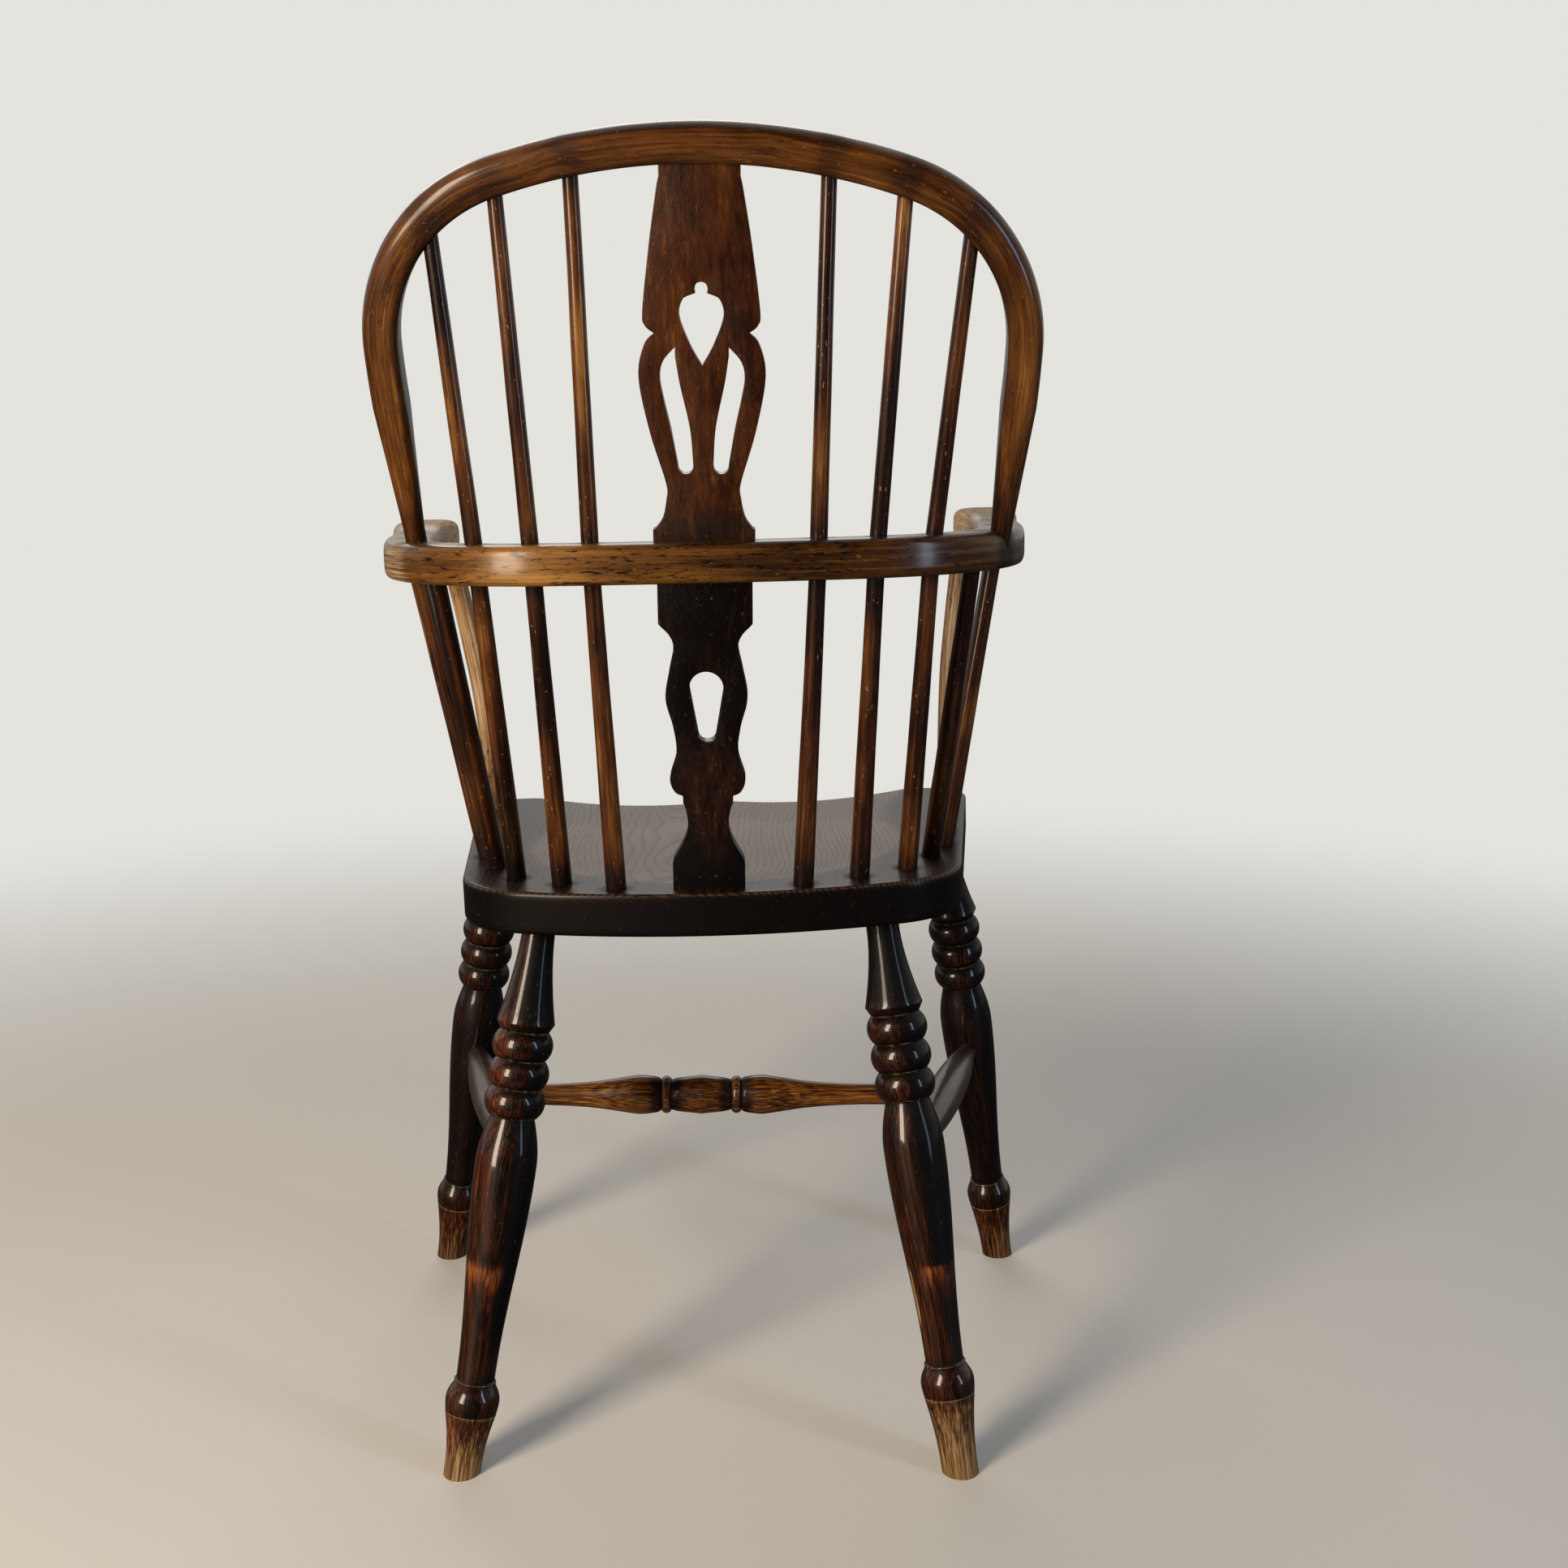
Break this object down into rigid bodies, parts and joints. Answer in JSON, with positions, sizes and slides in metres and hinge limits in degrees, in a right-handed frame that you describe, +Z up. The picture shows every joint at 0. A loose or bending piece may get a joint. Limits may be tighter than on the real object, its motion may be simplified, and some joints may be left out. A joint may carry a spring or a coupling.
{
  "type": "windsor armchair",
  "caption": "Wooden Windsor armchair with a bent hoop back, pierced splat, turned legs and a hollowed seat.",
  "frame": {"origin": "on the floor, under the middle of the whole chair's box", "axes": "+Z up, the chair faces -Y, +X is the sitter's left"},
  "size_m": [0.5829, 0.4929, 1.0024],
  "materials": {
    "seat_wood": "satin, grey-brown elm with open rings",
    "leg_wood": "old glossy polish, near black with red-brown wear",
    "stretcher_wood": "waxed, golden-brown, worn",
    "rail_wood": "waxed, golden-brown with dark streaks",
    "stick_wood": "waxed, dark brown with worn flecks",
    "splat_wood": "polished, dark red-brown"
  },
  "bodies": {
    "root": {"seat": "seat_wood", "leg_back_left": "leg_wood", "leg_back_right": "leg_wood", "leg_front_left": "leg_wood", "leg_front_right": "leg_wood", "side_stretcher_left": "stretcher_wood", "side_stretcher_right": "stretcher_wood", "cross_stretcher": "stretcher_wood", "arm_bow": "rail_wood", "hoop": "rail_wood", "upper_splat": "splat_wood", "lower_splat": "splat_wood", "long_stick_left_outer": "stick_wood", "long_stick_left_middle": "stick_wood", "long_stick_left_inner": "stick_wood", "long_stick_right_inner": "stick_wood", "long_stick_right_middle": "stick_wood", "long_stick_right_outer": "stick_wood", "short_stick_left_front": "stick_wood", "short_stick_left_middle": "stick_wood", "short_stick_left_rear": "stick_wood", "short_stick_right_front": "stick_wood", "short_stick_right_middle": "stick_wood", "short_stick_right_rear": "stick_wood", "arm_support_left": "stick_wood", "arm_support_right": "stick_wood"}
  },
  "joints": []
}
